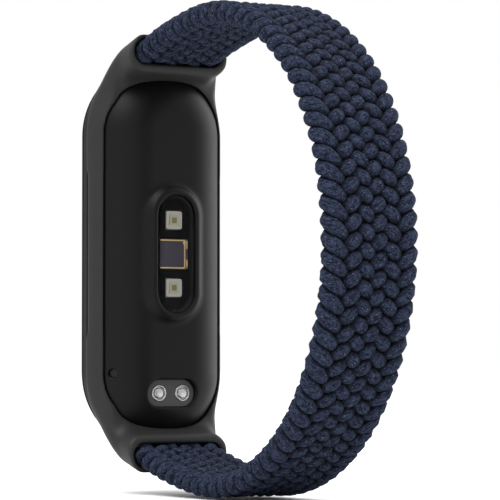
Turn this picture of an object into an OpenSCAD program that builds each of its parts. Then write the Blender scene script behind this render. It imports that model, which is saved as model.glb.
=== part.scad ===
// Fitness tracker on a braided elastic wrist loop.
// The pill-shaped tracker sits in a soft holder, and the ends of the braid are
// clamped in a socket at each end of the holder.
// X runs across the band, Z along the tracker, and the display faces -Y.
// "Depth" below is the distance forward (towards -Y) of the holder's back face.

/* [Band] */
// Width of the braided band
band_w = 12.2; // [10:0.1:16]
// Thickness of the braided band
band_t = 2.7; // [2.2:0.1:3.4]
// Radius of the loop opposite the tracker
far_r = 28.9; // [27:0.1:36]
// Half of the angle that the far arc covers
far_a = 36.4; // [30:0.1:40]
// Angle that each of the arcs at the loop's top and bottom covers
side_a = 61.9; // [58:0.1:66]
// Radius of the nearly straight stretch next to the holder
end_r = 71; // [50:1:90]
// Angle that the nearly straight stretch covers
end_a = 9.7; // [6:0.1:11]
// How far the end of the band's arc is beyond the end of the tracker
socket_rise = 0.94; // [0.7:0.02:1.4]
// Length of braid inside each socket
tail_len = 2; // [1.6:0.1:2.6]
// Width of the rubber ribbon inside the braid
core_w = 7; // [4:0.1:9]
// Thickness of the rubber ribbon inside the braid
core_t = 0.8; // [0.4:0.05:1.2]

/* [Tracker] */
// Length of the tracker
tracker_len = 47; // [44:0.1:60]
// Width of the tracker at its glass
tracker_w = 18.2; // [17:0.1:24]
// Depth at which the glass begins
glass_base = 4.8; // [4.4:0.1:6]
// Radius of the glass beside its flat middle
glass_crown_r = 18.8; // [16:0.2:24]
// Angle at which that curve turns into the edge
glass_blend_a = 13; // [10:0.5:15]
// Radius of the glass at its edge
glass_edge_r = 3.2; // [2.8:0.1:3.6]
// Angle at which the edge meets the seal
glass_edge_a = 75; // [70:1:80]
// Thickness of the glass
glass_t = 1; // [0.6:0.1:1.1]
// Height of the seal under the glass
seal_t = 0.15; // [0.1:0.01:0.3]
// How far the glass flange stands out over the rear housing's sides
flange_step = 0.65; // [0.5:0.05:1]
// Height of the bulge behind the holder's back face
bulge_h = 1.6; // [1.2:0.1:2.4]
// Radius of the bulge's rounded sides
bulge_r = 6.3; // [5.6:0.1:7]
// Angle that the bulge's rounded sides cover
bulge_a = 58.6; // [52:0.2:64]
// How far the bulge is inside the rear housing's sides
bulge_step = 0.45; // [0.3:0.05:0.7]
// How far each end of the bulge is inside the rear housing's end
bulge_end_step = 0.35; // [0.2:0.05:0.7]
// Wall of the rear housing
housing_wall = 0.9; // [0.7:0.05:1.1]

/* [Holder] */
// Wall of the holder beside the tracker
holder_wall = 0.6; // [0.5:0.05:1.2]
// Depth of the holder's front rim
holder_rim = 3.4; // [3:0.1:4]
// Depth of the back of the lip beside the tracker
lip_back = 1.2; // [0.8:0.1:1.4]
// Thickness of the lip that the tracker rests on
lip_t = 1.2; // [1:0.05:1.4]
// Gap between the tracker and the holder
seat_gap = 0.15; // [0.1:0.01:0.3]
// Distance from the end of the band's arc to the holder's back face
seat_depth = 3.1; // [2.6:0.1:3.6]
// Room around the braid in the socket
socket_gap = 0.4; // [0.3:0.05:0.6]
// Wall around the socket
socket_wall = 0.9; // [0.7:0.05:1.3]
// Thickness of the clamp that grips the braid's end
clamp_t = 0.6; // [0.5:0.1:1.1]

/* [Heart rate sensor] */
// Distance between a light and the end of the sensor window
window_end = 2; // [1.4:0.1:2.6]
// Distance between the light detector and the side of the sensor window
window_side = 0.65; // [0.6:0.05:1.2]
// Thickness of the sensor window
window_t = 0.7; // [0.5:0.05:0.8]
// How far the window's rim stands out of the bulge
window_rise = 0.9; // [0.7:0.05:1.2]
// Width of the rim round the sensor window
window_rim = 1.3; // [0.8:0.1:1.6]
// Width of the ledge that the window is glued to
window_ledge = 0.4; // [0.25:0.05:0.6]
// Side of a light
led_size = 2.2; // [1.6:0.1:2.6]
// Distance between the two lights
led_pitch = 8.2; // [7.4:0.1:9]
// Width of the light detector
detector_w = 3.9; // [3:0.1:4.4]
// Height of the light detector
detector_h = 3.6; // [3:0.1:4]

/* [Charging contacts] */
// Distance of the contacts below the tracker's middle
contact_drop = 16.85; // [15.5:0.05:17.5]
// Distance between the two contacts
contact_pitch = 3.26; // [2.8:0.02:3.6]
// Diameter of a contact
contact_d = 2; // [1.6:0.1:2.2]
// Diameter of the raised disc in a contact
contact_disc_d = 1.2; // [0.8:0.1:1.3]
// Width of the pocket that the contacts stand in
pocket_w = 6.6; // [6:0.1:7]
// Height of the pocket that the contacts stand in
pocket_h = 3.3; // [3:0.1:3.8]
// Depth of the pocket
pocket_depth = 0.7; // [0.5:0.05:0.8]
// Diameter of a charging magnet
magnet_d = 2.8; // [2:0.1:3]
// Thickness of a charging magnet
magnet_t = 1.1; // [0.8:0.1:1.5]
// Diameter of the microphone's port
port_d = 1.1; // [0.8:0.1:1.3]
// Distance of the port's mouth from the tracker's middle line
port_x = 7.3; // [6.8:0.1:7.6]
// Distance of the port below the tracker's middle
port_drop = 14.45; // [13:0.05:15]

/* [Inside] */
// Thickness of the sensor board
sensor_board_t = 0.4; // [0.3:0.05:0.6]
// Thickness of the battery
battery_t = 2.9; // [2.6:0.1:3]
// Width of the battery
battery_w = 9.6; // [8:0.1:9.8]
// Length of the battery
battery_len = 19.4; // [16:0.1:20]
// Thickness of the main board
board_t = 0.6; // [0.4:0.05:0.7]
// Height of the parts on the main board
chip_h = 0.7; // [0.5:0.05:0.7]
// Thickness of the inner frame
frame_t = 0.7; // [0.5:0.05:0.8]
// Width of the display
display_w = 11.6; // [9:0.1:11.8]
// Length of the display
display_len = 24.4; // [20:0.1:25]
// Thickness of the display
display_t = 1; // [0.8:0.05:1]
// Diameter of the vibration motor
motor_d = 8; // [6:0.1:8]
// Diameter of the vibration motor's shaft
motor_shaft_d = 0.8; // [0.6:0.05:1]
// Running clearance of the motor's weight on its shaft
motor_run_gap = 0.05; // [0.03:0.01:0.08]

/* [Hidden] */
$fn = 96;

// The band's centre line: three arcs, each meeting the next without a corner.
side_start = far_a;
end_start = far_a + side_a;
end_stop = end_start + end_a;
function turned(a) = [cos(a), sin(a)];
far_c = [0, 0];
// The radius of the side arcs that takes the band's end to its place in the socket.
side_r = (tracker_len / 2 + socket_rise - far_r * sin(side_start)
          + end_r * (sin(end_start) - sin(end_stop))) / (sin(end_start) - sin(side_start));
side_c = far_c + (far_r - side_r) * turned(side_start);
end_c = side_c + (side_r - end_r) * turned(end_start);
band_end = end_c + end_r * turned(end_stop);

// Planes of depth, counted forward from the holder's back face.
back_y = band_end[0] - seat_depth;
lip_front = lip_back + lip_t;
shoulder = lip_front + 0.1;
flange_back = holder_rim + seat_gap;
flange_front = glass_base - seal_t;
inner_floor = housing_wall - bulge_h;
inner_step = lip_back + 0.2;
sensor_board_front = inner_floor + sensor_board_t;
board_back = sensor_board_front + battery_t;
board_front = board_back + board_t;
frame_back = board_front + chip_h;
frame_front = frame_back + frame_t;
display_back = glass_base + 0.2;
display_front = display_back + display_t;
touch_t = 0.15;
glass_rise = glass_crown_r - (glass_crown_r - glass_edge_r) * cos(glass_blend_a)
             - glass_edge_r * cos(glass_edge_a);
glass_apex = glass_base + glass_rise;

// Half widths, and the places of the round ends' centres.
glass_hw = tracker_w / 2;
glass_flat = glass_hw - (glass_crown_r - glass_edge_r) * sin(glass_blend_a)
             - glass_edge_r * sin(glass_edge_a);
glass_zc = tracker_len / 2 - glass_hw;
housing_hw = glass_hw - flange_step;
bulge_hw = housing_hw - bulge_step;
bulge_zc = glass_zc + bulge_step - bulge_end_step;
inner_hw = bulge_hw - housing_wall;
cavity_hw = housing_hw + seat_gap;
opening_hw = bulge_hw + seat_gap;
holder_hw = cavity_hw + holder_wall;
bulge_flat = bulge_hw - bulge_r * sin(bulge_a);
floor_hw = bulge_hw - 3;

// Sensor and contacts.
window_w = detector_w + 2 * window_side;
window_len = led_pitch + led_size + 2 * window_end;
window_hw = window_w / 2;
window_zc = window_len / 2 - window_hw;
window_top = -bulge_h - window_rise;
window_seat = window_top + window_t;
well_hw = window_hw - window_ledge;
pocket_floor = pocket_depth - bulge_h;
port_a = asin((port_x - bulge_flat) / bulge_r);
port_len = 0.65;
mesh_t = 0.15;
plate_front = inner_floor + 0.6;
plate_hw = pocket_h / 2 + 0.5;
contact_proud = 0.1;
insert_gap = 0.05;

// Socket: its mouth is a slanted plane behind the end of the arc.
socket_w = band_w + 2 * socket_gap;
socket_h = band_t + 2 * socket_gap;
socket_depth = tail_len + clamp_t;
end_tangent = end_stop + 90;

// Motor.
motor_z = bulge_zc + floor_hw - motor_d / 2 - 0.3;
motor_back = inner_floor;
motor_base_t = 0.2;
motor_wall = 0.2;

// The whole object stands on the plane Z = 0, with its box centred on the Z axis.
outer_t = side_r + band_t / 2;
half_h = side_c[1] + outer_t;
holder_top = band_end[1] + socket_h / 2 + socket_wall + 0.4;
front_y = back_y - glass_apex;
rear_y = far_r + band_t / 2;

module place() translate([0, -(front_y + rear_y) / 2, half_h]) children();

// --- Shapes that repeat ------------------------------------------------------

// A flat strip's section with round edges: w across, t thick.
module strip_section(w, t) {
    square([t, w - t], center = true);
    for (s = [-1, 1]) translate([0, s * (w - t) / 2]) circle(d = t);
}

// Stations along the band from its middle to the end of the upper tail, each a place
// in the Y-Z plane with the direction that faces away from the wrist.
arc_step = 4;
function arc_stations(c, r, a0, a1) =
    let (n = ceil((a1 - a0) / arc_step))
    [for (i = [1:n]) let (a = a0 + (a1 - a0) * i / n) [c + r * turned(a), a]];
function upper_stations(tail) = concat(
    arc_stations(far_c, far_r, 0, far_a),
    arc_stations(side_c, side_r, side_start, end_start),
    arc_stations(end_c, end_r, end_start, end_stop),
    [[band_end + tail * turned(end_tangent), end_stop]]
);
function mirrored(station) = [[station[0][0], -station[0][1]], -station[1]];
function band_stations(tail) =
    let (up = upper_stations(tail), n = len(up))
    concat([for (i = [n - 1:-1:0]) mirrored(up[i])], [[far_c + [far_r, 0], 0]], up);

// Points of a strip's section with round edges, as [across the band, outwards].
strip_sides = 24;
function strip_ring(w, t) =
    [for (i = [0:strip_sides - 1]) let (a = 360 * (i + 0.5) / strip_sides)
        [sign(cos(a)) * (w - t) / 2 + t / 2 * cos(a), t / 2 * sin(a)]];
function placed_ring(station, ring) =
    [for (p = ring) [p[0], station[0][0] + p[1] * cos(station[1]),
                     station[0][1] + p[1] * sin(station[1])]];
function flat(lists) = [for (l = lists) each l];

// Quads between ring i and the next one, for rings that start at point number first.
function ring_faces(rings, first, flip) =
    [for (i = [0:rings - 2], j = [0:strip_sides - 1])
        let (a = first + i * strip_sides + j,
             b = first + i * strip_sides + (j + 1) % strip_sides,
             quad = [a, b, b + strip_sides, a + strip_sides])
        flip ? [quad[3], quad[2], quad[1], quad[0]] : quad];

// A solid strip that follows the band.
module band_strip(w, t, tail) {
    stations = band_stations(tail);
    rings = len(stations);
    last = (rings - 1) * strip_sides;
    polyhedron(
        flat([for (s = stations) placed_ring(s, strip_ring(w, t))]),
        concat(
            ring_faces(rings, 0, false),
            [[for (j = [strip_sides - 1:-1:0]) j]],
            [[for (j = [0:strip_sides - 1]) last + j]]
        )
    );
}

// A hollow strip that follows the band, with a channel of its own width and thickness.
module band_sleeve(w, t, channel_w, channel_t, tail) {
    stations = band_stations(tail);
    rings = len(stations);
    inner = rings * strip_sides;
    last = (rings - 1) * strip_sides;
    polyhedron(
        concat(
            flat([for (s = stations) placed_ring(s, strip_ring(w, t))]),
            flat([for (s = stations) placed_ring(s, strip_ring(channel_w, channel_t))])
        ),
        concat(
            ring_faces(rings, 0, false),
            ring_faces(rings, inner, true),
            [for (j = [0:strip_sides - 1]) let (k = (j + 1) % strip_sides)
                [k, j, inner + j, inner + k]],
            [for (j = [0:strip_sides - 1]) let (k = (j + 1) % strip_sides)
                [last + j, last + k, inner + last + k, inner + last + j]]
        )
    );
}

// A straight stretch along the upper tail, from one distance past the arc to another.
module along_tail(from, to)
    translate([0, band_end[0], band_end[1]]) rotate([end_tangent, 0, 0])
        translate([0, from, 0]) rotate([-90, 0, 0]) rotate([0, 0, 90])
            linear_extrude(to - from) children();

// A pill seen from the front, whose cross-section is a 2D child in (distance, depth).
module pill(zc) {
    for (s = [-1, 1]) translate([0, back_y, s * zc]) rotate([90, 0, 0])
        rotate_extrude() children();
    translate([0, back_y, -zc]) linear_extrude(2 * zc) mirror([0, 1]) {
        children();
        mirror([1, 0]) children();
    }
}

// A pill-shaped plate between two depths.
module pill_plate(hw, zc, d0, d1)
    pill(zc) translate([0, d0]) square([hw, d1 - d0]);

// A pill-shaped plate lying across the band, centred at height z.
module cross_plate(hw, xc, z, d0, d1)
    translate([0, back_y - d0, z]) rotate([90, 0, 0]) linear_extrude(d1 - d0) {
        square([2 * xc, 2 * hw], center = true);
        for (s = [-1, 1]) translate([s * xc, 0]) circle(r = hw);
    }

// A block between two depths, centred at x and z.
module slab(x, z, w, h, d0, d1)
    translate([x - w / 2, back_y - d1, z - h / 2]) cube([w, d1 - d0, h]);

// A disc between two depths, centred at x and z.
module disc(x, z, d, d0, d1)
    translate([x, back_y - d0, z]) rotate([90, 0, 0]) cylinder(d = d, h = d1 - d0);

// --- Holder and band -----------------------------------------------------------

wall_taper = 1.6;

module holder_wall_section()
    polygon([
        [opening_hw - 1, lip_back], [opening_hw, lip_back],
        [holder_hw, lip_back + wall_taper], [holder_hw, holder_rim], [cavity_hw, holder_rim],
        [cavity_hw, lip_front], [opening_hw - 1, lip_front]
    ]);

// The outline of one end of the holder seen from the front.
module holder_end_plan() {
    neck_hw = socket_w / 2 + socket_wall;
    top = holder_top;
    corner = 2.4;
    polygon([
        [-holder_hw, glass_zc - 2], [holder_hw, glass_zc - 2], [holder_hw, glass_zc],
        [holder_hw - 0.6, glass_zc + 3.6], [neck_hw + 0.5, top - corner - 1.6],
        [neck_hw, top - corner], [-neck_hw, top - corner],
        [-neck_hw - 0.5, top - corner - 1.6], [-holder_hw + 0.6, glass_zc + 3.6],
        [-holder_hw, glass_zc]
    ]);
    translate([-neck_hw + corner, top - corner - 0.1]) square([2 * (neck_hw - corner), corner + 0.1]);
    for (s = [-1, 1]) translate([s * (neck_hw - corner), top - corner]) circle(r = corner);
}

// The outline of one end of the holder seen from the side, in (Y, Z).
module holder_end_side() {
    inside_z = band_end[1] - socket_h / 2 - socket_wall;
    top = holder_top;
    y0 = back_y;
    polygon([
        [y0 - lip_back, glass_zc - 2], [y0 - holder_rim, glass_zc - 2],
        [y0 - holder_rim, tracker_len / 2 - 0.1], [y0 - holder_rim + 0.7, tracker_len / 2 + 1],
        [y0 - holder_rim + 1.9, tracker_len / 2 + 2.1], [y0 - 0.1, top - 0.5],
        [y0 + 1.4, top], [y0 + 2.9, top], [y0 + 3.6, top - 0.5],
        [y0 + 2.3, inside_z - 0.1], [y0 + 1.7, inside_z - 0.4], [y0 + 0.6, inside_z - 0.6],
        [y0 - 0.75, inside_z - 1.2], [y0 - 0.75, glass_zc + 4]
    ]);
}

// The front of each end slopes back all round, like a cone on the holder's rim.
end_slope = 1.13;
end_back = -12;

module holder_end_cone()
    pill(glass_zc) polygon([
        [0, end_back], [holder_hw + 0.2 + (holder_rim - end_back) / end_slope, end_back],
        [holder_hw + 0.2, holder_rim], [0, holder_rim]
    ]);

// The waist beside the opening, where the sides slope in towards the wrist.
waist_hw = 6.3;
waist_slope = 0.61;

module holder_waist()
    for (s = [0, 1]) mirror([s, 0, 0])
        translate([0, back_y, 0]) linear_extrude(bulge_zc + waist_hw + 0.5) mirror([0, 1])
            polygon([
                [waist_hw - waist_slope, -1], [holder_hw + 1, -1], [holder_hw + 1, holder_rim + 1],
                [waist_hw + waist_slope * (holder_rim + 1), holder_rim + 1]
            ]);

module holder_end()
    difference() {
        intersection() {
            translate([0, back_y + 8, 0]) rotate([90, 0, 0]) linear_extrude(16) holder_end_plan();
            rotate([90, 0, 90]) translate([0, 0, -holder_hw]) linear_extrude(2 * holder_hw)
                holder_end_side();
            holder_end_cone();
        }
        holder_waist();
    }

module holder_frame() color([0.17, 0.17, 0.17]) place()
    difference() {
        union() {
            pill(glass_zc) holder_wall_section();
            for (s = [0, 1]) mirror([0, 0, s]) holder_end();
        }
        pill_plate(cavity_hw, glass_zc, lip_front, holder_rim + 1);
        pill(bulge_zc) bulge_section(seat_gap);
        for (s = [0, 1]) mirror([0, 0, s])
            along_tail(-6, socket_depth) strip_section(socket_w, socket_h);
    }

module braided_band() color([0.15, 0.19, 0.28]) place()
    band_sleeve(band_w, band_t, core_w, core_t, tail_len);

module elastic_core() color([0.1, 0.1, 0.12]) place()
    band_strip(core_w - 2 * insert_gap, core_t - 2 * insert_gap, tail_len);

module end_clamp() along_tail(tail_len, socket_depth) strip_section(socket_w, socket_h);

module upper_end_clamp() color([0.62, 0.63, 0.65]) place() end_clamp();

module lower_end_clamp() color([0.62, 0.63, 0.65]) place() mirror([0, 0, 1]) end_clamp();

// --- Tracker: shells -----------------------------------------------------------

// Half section of the bulge behind the housing, grown by a gap: flat, then a round side.
module bulge_section(gap) {
    height = bulge_h + gap + shoulder + 0.1;
    translate([0, -bulge_h - gap]) square([bulge_flat, height]);
    intersection() {
        translate([bulge_flat, bulge_r - bulge_h]) circle(r = bulge_r + gap);
        translate([0, -bulge_h - gap]) square([bulge_hw + gap, height]);
    }
}

module window_rim_section() {
    outer = window_hw + window_rim;
    polygon(concat(
        [[window_hw - 1, -bulge_h + 0.3], [window_hw - 1, window_top], [window_hw + 0.25, window_top]],
        [for (i = [1:8]) let (t = i / 8)
            [window_hw + 0.25 + (window_rim - 0.25) * t,
             window_top + (window_rise + 0.05) * (1 - cos(180 * t)) / 2]],
        [[outer, -bulge_h + 0.3]]
    ));
}

// A cylinder square to the bulge's round side at the port, from one depth to another.
module port_bore(d, from, to)
    translate([bulge_flat, back_y - bulge_r + bulge_h, -port_drop]) rotate([0, 0, -port_a])
        translate([0, bulge_r - from, 0]) rotate([90, 0, 0]) cylinder(d = d, h = to - from);

module rear_housing() color([0.06, 0.06, 0.065]) place()
    difference() {
        union() {
            pill(bulge_zc) bulge_section(0);
            pill_plate(housing_hw, glass_zc, shoulder, flange_front);
            pill_plate(glass_hw, glass_zc, flange_back, flange_front);
            pill(window_zc) window_rim_section();
        }
        pill_plate(floor_hw, bulge_zc, inner_floor, inner_step + 0.1);
        pill_plate(inner_hw, glass_zc, inner_step, flange_front + 1);
        pill_plate(window_hw, window_zc, window_top - 1, window_seat);
        pill_plate(well_hw, window_zc, window_seat - 0.1, inner_floor + 0.1);
        cross_plate(pocket_h / 2, (pocket_w - pocket_h) / 2, -contact_drop, -3, inner_floor + 0.1);
        cross_plate(plate_hw + insert_gap, (pocket_w - pocket_h) / 2, -contact_drop, inner_floor,
                    plate_front + 0.1);
        port_bore(port_d, -1, port_len);
    }

module glass_seal() color([0.03, 0.03, 0.03]) place()
    difference() {
        pill_plate(glass_hw - 0.1, glass_zc, flange_front, glass_base);
        pill_plate(glass_hw - glass_t - 0.2, glass_zc, flange_front - 1, glass_base + 1);
    }

// Half section of the glass's outer face, moved inwards by inset.
module glass_section(inset) {
    crown = glass_crown_r - inset;
    edge = glass_edge_r - inset;
    crown_y = glass_apex - glass_crown_r;
    edge_c = [glass_flat, crown_y]
             + (glass_crown_r - glass_edge_r) * [sin(glass_blend_a), cos(glass_blend_a)];
    steps = 10;
    polygon(concat(
        [[0, glass_base - inset], [0, crown_y + crown]],
        [for (i = [0:steps]) let (a = glass_blend_a * i / steps)
            [glass_flat + crown * sin(a), crown_y + crown * cos(a)]],
        [for (i = [1:steps]) let (a = glass_blend_a + (glass_edge_a - glass_blend_a) * i / steps)
            edge_c + edge * [sin(a), cos(a)]],
        [[edge_c[0] + edge * sin(glass_edge_a), glass_base - inset]]
    ));
}

module front_glass() color([0.02, 0.02, 0.03]) place()
    difference() {
        pill(glass_zc) glass_section(0);
        pill(glass_zc) glass_section(glass_t);
    }

// --- Tracker: display ----------------------------------------------------------

module touch_layer() color([0.3, 0.32, 0.36]) place()
    slab(0, 0, display_w, display_len, display_front, display_front + touch_t);

module display_module() color([0.08, 0.09, 0.12]) place()
    slab(0, 0, display_w, display_len, display_back, display_front);

flex_w = 5;
flex_t = 0.12;
flex_room = 1.6;

module display_flex() color([0.75, 0.42, 0.12]) place() {
    z0 = -display_len / 2;
    slab(0, z0 - flex_room / 2, flex_w, flex_room, display_back, display_back + flex_t);
    slab(0, z0 - flex_room + flex_t / 2, flex_w, flex_t, board_front, display_back + flex_t);
}

module inner_frame() color([0.3, 0.31, 0.33]) place()
    difference() {
        union() {
            pill_plate(inner_hw - 0.1, glass_zc, frame_back, frame_front);
            slab(0, 0, display_w - 1, display_len - 1, frame_back, display_back);
        }
        slab(0, -display_len / 2 - flex_room / 2 - 0.3, flex_w + 0.6, flex_room + 0.4,
             frame_back - 1, display_back + 1);
    }

// --- Tracker: electronics --------------------------------------------------------

battery_z = motor_z - motor_d / 2 - 0.8 - battery_len / 2;
can_len = 4.6;
can_z = -display_len / 2 - flex_room - 0.5 - can_len / 2;

module main_board() color([0.05, 0.28, 0.16]) place()
    pill_plate(inner_hw - 0.4, glass_zc, board_back, board_front);

module shield_can() color([0.75, 0.76, 0.78]) place()
    slab(0, can_z, 8.4, can_len, board_front, frame_back);

module board_chips() color([0.12, 0.12, 0.13]) place() {
    slab(-2.6, 6, 3.4, 3.4, board_front, frame_back);
    slab(2.4, 7, 2.2, 2.6, board_front, frame_back - 0.1);
    slab(2.2, 2, 1.6, 1.6, board_front, frame_back - 0.2);
    slab(-2.4, 0, 2.2, 1.6, board_front, frame_back - 0.1);
}

module battery_cell() color([0.72, 0.73, 0.75]) place()
    slab(0, battery_z, battery_w, battery_len, sensor_board_front, board_back);

module battery_tab() color([0.8, 0.7, 0.4]) place()
    slab(0, battery_z + battery_len / 2 + 0.15, 3, 0.3, board_back - 1.4, board_back);

module antenna() color([0.8, 0.62, 0.35]) place()
    translate([0, back_y - inner_step - 0.9, glass_zc]) rotate([90, 0, 0]) rotate([0, 0, 20])
        rotate_extrude(angle = 140) translate([inner_hw - 0.3, 0]) square([0.2, 1.4]);

module sensor_board() color([0.04, 0.2, 0.12]) place()
    slab(0, 0, 2 * window_hw + 2, window_len + 2, inner_floor, sensor_board_front);

module sensor_window() color([0.03, 0.03, 0.05]) place()
    pill_plate(window_hw - insert_gap, window_zc, window_top + 0.05, window_seat);

// The opaque block that keeps the lights apart from the detector.
module light_baffle() color([0.05, 0.05, 0.05]) place()
    difference() {
        pill_plate(well_hw - insert_gap, window_zc, window_seat, inner_floor);
        for (s = [-1, 1])
            slab(0, s * led_pitch / 2, led_size + 0.3, led_size + 0.3, window_seat - 1, inner_floor + 1);
        slab(0, 0, detector_w + 0.1, detector_h + 0.1, window_seat - 1, inner_floor + 1);
    }

led_h = 1.05;
phosphor_size = 1.2;
phosphor_t = 0.15;

module led(z)
    difference() {
        slab(0, z, led_size, led_size, inner_floor - led_h, inner_floor);
        slab(0, z, phosphor_size, phosphor_size, inner_floor - led_h - 1, inner_floor - led_h + phosphor_t);
    }

module led_upper() color([0.85, 0.83, 0.78]) place() led(led_pitch / 2);

module led_lower() color([0.85, 0.83, 0.78]) place() led(-led_pitch / 2);

module led_phosphors() color([0.9, 0.8, 0.3]) place()
    for (s = [-1, 1])
        slab(0, s * led_pitch / 2, phosphor_size, phosphor_size, inner_floor - led_h,
             inner_floor - led_h + phosphor_t);

detector_t = 1;
pad_t = 0.06;
pad_line = 0.15;
pad_inset = 0.05;
pad_strip = 0.35;

module light_detector() color([0.2, 0.16, 0.26]) place()
    slab(0, 0, detector_w, detector_h, inner_floor - detector_t, inner_floor);

// A gold line along three sides of the detector, and two bonding strips outside it.
module detector_pads() color([0.85, 0.65, 0.3]) place() {
    d0 = inner_floor - detector_t - pad_t;
    d1 = inner_floor - detector_t;
    line_w = detector_w - 2 * pad_inset - pad_strip;
    line_h = detector_h - 2 * pad_inset;
    difference() {
        slab(pad_strip / 2, 0, line_w, line_h, d0, d1);
        slab(pad_strip / 2 + pad_line, 0, line_w, line_h - 2 * pad_line, d0 - 1, d1 + 1);
    }
    for (s = [-1, 1])
        slab(-detector_w / 2 + pad_strip / 2, s * detector_h * 0.32, 0.12, 1, d0, d1);
}

// --- Tracker: charging and sound -------------------------------------------------

module contact_plate() color([0.15, 0.15, 0.15]) place()
    difference() {
        union() {
            cross_plate(pocket_h / 2 - insert_gap, (pocket_w - pocket_h) / 2, -contact_drop,
                        pocket_floor, plate_front);
            cross_plate(plate_hw, (pocket_w - pocket_h) / 2, -contact_drop, inner_floor,
                        plate_front);
        }
        for (s = [-1, 1])
            disc(s * contact_pitch / 2, -contact_drop, contact_d, -3, plate_front + 1);
    }

module charging_contacts() color([0.82, 0.82, 0.8]) place()
    for (s = [-1, 1]) translate([s * contact_pitch / 2, back_y - plate_front, -contact_drop])
        rotate([-90, 0, 0]) rotate_extrude() {
            depth = plate_front - pocket_floor + contact_proud;
            ring = 0.2;
            groove = 0.35;
            square([contact_d / 2, depth - groove]);
            square([contact_disc_d / 2, depth]);
            translate([contact_d / 2 - ring, 0]) square([ring, depth]);
        }

module contact_springs() color([0.85, 0.7, 0.4]) place()
    for (s = [-1, 1]) {
        x = s * contact_pitch / 2;
        z = -contact_drop;
        slab(x, z, 0.8, 1.6, plate_front, plate_front + 0.15);
        slab(x, z + 0.8 - 0.075, 0.8, 0.15, plate_front, board_back);
        slab(x, z, 0.8, 1.6, board_back - 0.15, board_back);
    }

module charging_magnets() color([0.6, 0.6, 0.62]) place()
    for (s = [-1, 1]) disc(s * 4.6, -contact_drop, magnet_d, inner_step, inner_step + magnet_t);

// The microphone stands on the main board, beside the battery.
mic_w = 1.8;
mic_x = battery_w / 2 + 0.2 + mic_w / 2;

module microphone() color([0.78, 0.76, 0.7]) place()
    slab(mic_x, -port_drop + 3.4, mic_w, 1.9, board_back - 0.9, board_back);

module port_mesh() color([0.25, 0.25, 0.26]) place()
    port_bore(port_d - 2 * insert_gap, port_len - mesh_t, port_len);

// --- Vibration motor -------------------------------------------------------------

module motor_case() color([0.7, 0.71, 0.73]) place()
    difference() {
        disc(0, motor_z, motor_d, motor_back + motor_base_t, board_back);
        disc(0, motor_z, motor_d - 2 * motor_wall, motor_back, board_back - motor_wall);
    }

module motor_base() color([0.6, 0.6, 0.62]) place()
    disc(0, motor_z, motor_d, motor_back, motor_back + motor_base_t);

module motor_magnet() color([0.3, 0.3, 0.32]) place()
    difference() {
        disc(0, motor_z, motor_d - 2.4, motor_back + motor_base_t, motor_back + motor_base_t + 0.3);
        disc(0, motor_z, motor_shaft_d + 1.6, motor_back, motor_back + 1);
    }

module motor_shaft() color([0.8, 0.8, 0.82]) place()
    disc(0, motor_z, motor_shaft_d, motor_back + motor_base_t, board_back - motor_wall);

module motor_weight() color([0.45, 0.42, 0.38]) place() {
    d0 = motor_back + motor_base_t + 0.45;
    d1 = board_back - motor_wall - 0.15;
    outer_d = motor_d - 2 * motor_wall - 0.4;
    difference() {
        union() {
            intersection() {
                disc(0, motor_z, outer_d, d0, d1);
                slab(0, motor_z - outer_d / 4, outer_d + 1, outer_d / 2, d0, d1);
            }
            disc(0, motor_z, motor_shaft_d + 1, d0, d1);
        }
        disc(0, motor_z, motor_shaft_d + 2 * motor_run_gap, d0 - 1, d1 + 1);
    }
}

holder_frame();
braided_band();
elastic_core();
upper_end_clamp();
lower_end_clamp();
rear_housing();
glass_seal();
front_glass();
touch_layer();
display_module();
display_flex();
inner_frame();
main_board();
shield_can();
board_chips();
battery_cell();
battery_tab();
antenna();
sensor_board();
sensor_window();
light_baffle();
led_upper();
led_lower();
led_phosphors();
light_detector();
detector_pads();
contact_plate();
charging_contacts();
contact_springs();
charging_magnets();
microphone();
port_mesh();
motor_case();
motor_base();
motor_magnet();
motor_shaft();
motor_weight();
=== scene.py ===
# %% [markdown]
# # A fitness tracker on a braided wrist loop
#
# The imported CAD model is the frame. It fixes where every part is and how it moves.
# This script only dresses that frame: it swaps plain solids for detailed meshes of
# the same size, and gives every surface a finish made of shader nodes.

# %% Load the frame
import math

import bmesh
import bpy
import numpy as np
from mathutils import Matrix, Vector


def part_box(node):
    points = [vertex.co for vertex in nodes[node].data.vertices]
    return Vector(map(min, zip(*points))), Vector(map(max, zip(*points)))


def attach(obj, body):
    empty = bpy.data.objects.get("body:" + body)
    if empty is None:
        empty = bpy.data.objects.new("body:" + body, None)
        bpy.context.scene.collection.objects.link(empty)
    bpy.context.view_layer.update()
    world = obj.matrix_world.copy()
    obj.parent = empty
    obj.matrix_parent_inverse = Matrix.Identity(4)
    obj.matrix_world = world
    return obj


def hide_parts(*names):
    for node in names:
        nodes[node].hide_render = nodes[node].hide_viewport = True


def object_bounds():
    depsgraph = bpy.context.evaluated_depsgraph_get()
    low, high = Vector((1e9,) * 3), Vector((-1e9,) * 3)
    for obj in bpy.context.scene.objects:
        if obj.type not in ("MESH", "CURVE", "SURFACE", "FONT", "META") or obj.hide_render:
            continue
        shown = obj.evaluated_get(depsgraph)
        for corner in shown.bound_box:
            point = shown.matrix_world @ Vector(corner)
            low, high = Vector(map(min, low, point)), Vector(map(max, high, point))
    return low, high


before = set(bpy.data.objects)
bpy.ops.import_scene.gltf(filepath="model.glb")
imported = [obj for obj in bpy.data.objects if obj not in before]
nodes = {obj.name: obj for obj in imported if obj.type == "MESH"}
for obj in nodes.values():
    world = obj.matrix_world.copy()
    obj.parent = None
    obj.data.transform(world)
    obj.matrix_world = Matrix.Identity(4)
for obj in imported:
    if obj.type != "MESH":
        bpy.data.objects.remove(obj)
cad_low, cad_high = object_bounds()
scene = bpy.context.scene
MM = 0.001
print("CAD box in mm:", [round(v / MM, 2) for v in (*cad_low, *cad_high)])

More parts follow.
